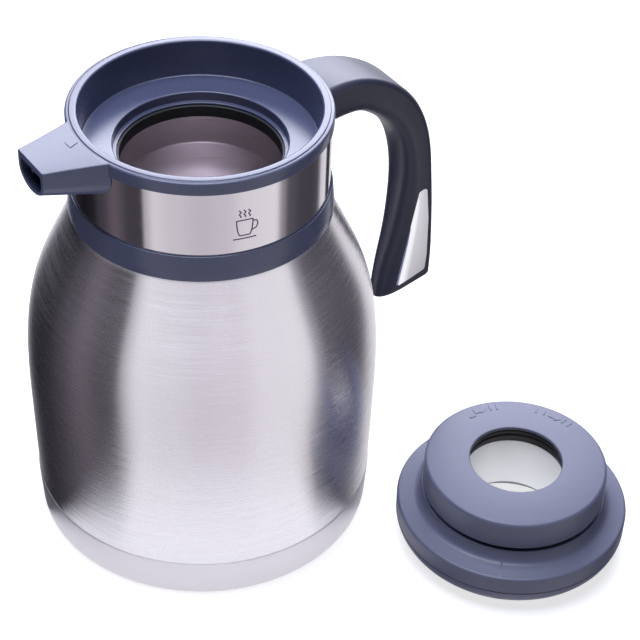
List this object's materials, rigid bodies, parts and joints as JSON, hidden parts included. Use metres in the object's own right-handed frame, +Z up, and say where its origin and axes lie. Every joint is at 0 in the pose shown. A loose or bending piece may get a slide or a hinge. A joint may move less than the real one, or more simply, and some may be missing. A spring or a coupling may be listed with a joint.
{
  "type": "vacuum carafe",
  "caption": "Double-wall steel vacuum carafe with pouring collar, spout and arched handle, and a separate domed brew-through lid lying beside it on its dome.",
  "frame": {"origin": "centre of the carafe's resting face, on the carafe's axis", "axes": "+Z up along the carafe's axis, +X towards the handle, -X towards the spout; the lid lies at +X, -Y"},
  "size_m": [0.2264, 0.2306, 0.205],
  "materials": {
    "brushed_steel": "horizontally brushed stainless steel",
    "satin_steel": "satin stainless steel",
    "polished_steel": "polished stainless steel",
    "flask_steel": "plain drawn stainless steel",
    "moulded_plastic": "satin moulded polypropylene, blue-grey",
    "grip_plastic": "fine matte moulded plastic, dark blue-grey",
    "lid_plastic": "fine-grained moulded polypropylene, blue-grey",
    "funnel_plastic": "natural white moulded polypropylene",
    "black_silicone": "matte silicone",
    "foot_plastic": "matte moulded plastic",
    "inlay_chrome": "bright chrome",
    "screw_steel": "zinc-plated steel"
  },
  "bodies": {
    "carafe": {"outer_shell": "brushed_steel", "inner_flask": "flask_steel", "base_band": "satin_steel", "vacuum_plate": "flask_steel", "foot_pad": "foot_plastic", "shoulder_ring": "moulded_plastic", "neck_sleeve": "polished_steel", "collar": "moulded_plastic", "throat_gasket": "black_silicone", "spout": "moulded_plastic", "handle": "grip_plastic", "handle_grip": "grip_plastic", "handle_inlay_front": "inlay_chrome", "handle_inlay_back": "inlay_chrome", "handle_screws": "screw_steel"},
    "lid": {"lid_dome": "lid_plastic", "lid_skirt": "lid_plastic", "lid_funnel": "funnel_plastic", "lid_seal": "black_silicone"},
    "plug": {"plug_ring": "lid_plastic", "hole_seal": "black_silicone"}
  },
  "joints": [
    {"name": "lid_lift", "type": "slide", "parent": "carafe", "child": "lid", "axis": [0, 0, 1], "range_m": [0, 0.25]},
    {"name": "plug_twist", "type": "hinge", "parent": "lid", "child": "plug", "pos_m": [0.0987, -0.1029, 0.036], "axis": [0, 0, 1], "range_deg": [0, 45]}
  ]
}
